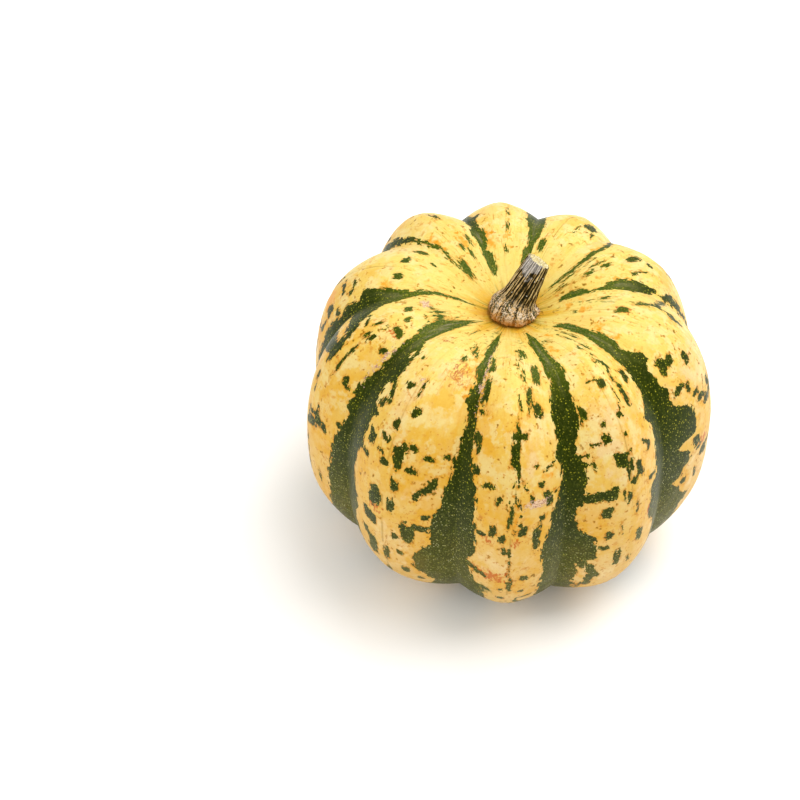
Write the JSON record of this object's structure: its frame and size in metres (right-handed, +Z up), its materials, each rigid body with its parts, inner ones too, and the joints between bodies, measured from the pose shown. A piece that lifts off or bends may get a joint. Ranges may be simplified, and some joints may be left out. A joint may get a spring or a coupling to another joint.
{
  "type": "striped winter squash",
  "caption": "Small round winter squash with deep ribs, dark green stripes on cream-yellow rind and a short cut stem.",
  "frame": {"origin": "on the surface that the squash rests on, under the middle of its outline seen from above", "axes": "+Z up along the fruit's axis towards the stem, -Y towards the viewer of the reference picture, +X to that viewer's right"},
  "size_m": [0.1202, 0.1236, 0.0981],
  "materials": {
    "rind": "hard waxy rind, satin, cream-yellow with dark green stripes",
    "stem": "dry fibrous stem, matt"
  },
  "bodies": {
    "root": {"fruit": "rind", "stem": "stem"}
  },
  "joints": []
}
